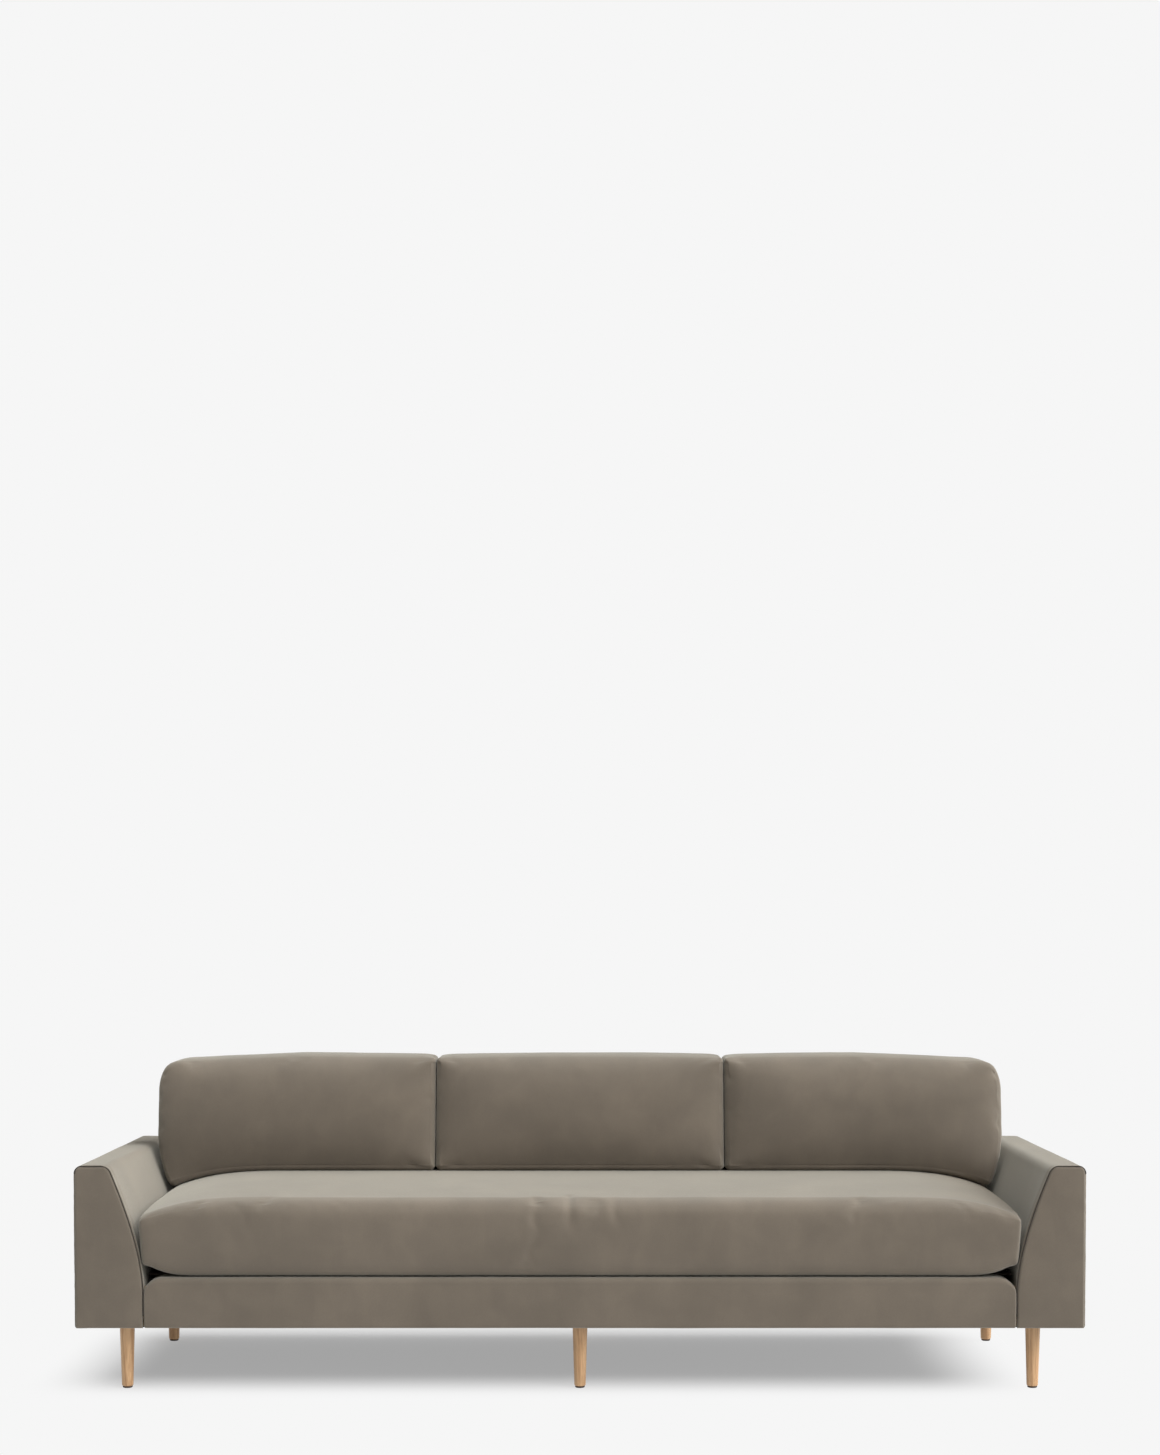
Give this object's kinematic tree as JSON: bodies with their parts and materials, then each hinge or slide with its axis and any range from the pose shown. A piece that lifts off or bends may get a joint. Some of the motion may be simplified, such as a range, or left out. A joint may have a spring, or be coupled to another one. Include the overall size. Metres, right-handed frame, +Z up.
{
  "type": "three-seat sofa",
  "caption": "Long low upholstered sofa with inward-sloping arms, a bench seat cushion, loose back cushions and tapered wooden legs.",
  "frame": {"origin": "on the floor, under the middle of the sofa's length and depth", "axes": "+X along the length, to the right as seen from the front; -Y is the front, where a sitter's legs are; +Z up"},
  "size_m": [2.56, 0.94, 0.827],
  "materials": {
    "velvet": "matte",
    "oak": "satin",
    "glide_plastic": "matte",
    "zinc_steel": "satin",
    "frame_timber": "matte",
    "spring_steel": "satin",
    "deck_cloth": "matte",
    "dust_cloth": "matte",
    "foam": "matte"
  },
  "bodies": {
    "sofa_frame": {"arm_cover_left": "velvet", "arm_cover_right": "velvet", "arm_front_panel_left": "velvet", "arm_front_panel_right": "velvet", "front_rail_cover": "velvet", "inside_back_cover": "velvet", "outside_back_panel": "velvet", "leg_front_left": "oak", "leg_front_centre": "oak", "leg_front_right": "oak", "leg_rear_left": "oak", "leg_rear_centre": "oak", "leg_rear_right": "oak", "glide_front_left": "glide_plastic", "glide_front_centre": "glide_plastic", "glide_front_right": "glide_plastic", "glide_rear_left": "glide_plastic", "glide_rear_centre": "glide_plastic", "glide_rear_right": "glide_plastic", "hanger_bolt_front_left": "zinc_steel", "hanger_bolt_front_centre": "zinc_steel", "hanger_bolt_front_right": "zinc_steel", "hanger_bolt_rear_left": "zinc_steel", "hanger_bolt_rear_centre": "zinc_steel", "hanger_bolt_rear_right": "zinc_steel", "front_rail": "frame_timber", "rear_rail": "frame_timber", "side_rail_left": "frame_timber", "side_rail_right": "frame_timber", "centre_rail": "frame_timber", "spring_rail": "frame_timber", "corner_block_front_left": "frame_timber", "corner_block_front_right": "frame_timber", "corner_block_rear_left": "frame_timber", "corner_block_rear_right": "frame_timber", "arm_front_post_left": "frame_timber", "arm_front_post_right": "frame_timber", "arm_rear_post_left": "frame_timber", "arm_rear_post_right": "frame_timber", "arm_top_rail_left": "frame_timber", "arm_top_rail_right": "frame_timber", "back_upright_left": "frame_timber", "back_upright_centre": "frame_timber", "back_upright_right": "frame_timber", "back_top_rail": "frame_timber", "seat_spring_1": "spring_steel", "seat_spring_2": "spring_steel", "seat_spring_3": "spring_steel", "seat_spring_4": "spring_steel", "seat_spring_5": "spring_steel", "seat_deck": "deck_cloth", "dust_cover": "dust_cloth"},
    "seat_cushion": {"seat_cushion_cover": "velvet", "seat_cushion_core": "foam"},
    "back_cushion_left": {"back_cushion_cover_left": "velvet", "back_cushion_core_left": "foam"},
    "back_cushion_centre": {"back_cushion_cover_centre": "velvet", "back_cushion_core_centre": "foam"},
    "back_cushion_right": {"back_cushion_cover_right": "velvet", "back_cushion_core_right": "foam"}
  },
  "joints": [
    {"name": "seat_cushion_lift", "type": "slide", "parent": "sofa_frame", "child": "seat_cushion", "axis": [0, 0, 1], "range_m": [0, 0.32]},
    {"name": "back_cushion_left_lift", "type": "slide", "parent": "seat_cushion", "child": "back_cushion_left", "axis": [0, 0, 1], "range_m": [0, 0.25]},
    {"name": "back_cushion_centre_lift", "type": "slide", "parent": "seat_cushion", "child": "back_cushion_centre", "axis": [0, 0, 1], "range_m": [0, 0.25]},
    {"name": "back_cushion_right_lift", "type": "slide", "parent": "seat_cushion", "child": "back_cushion_right", "axis": [0, 0, 1], "range_m": [0, 0.25]}
  ]
}
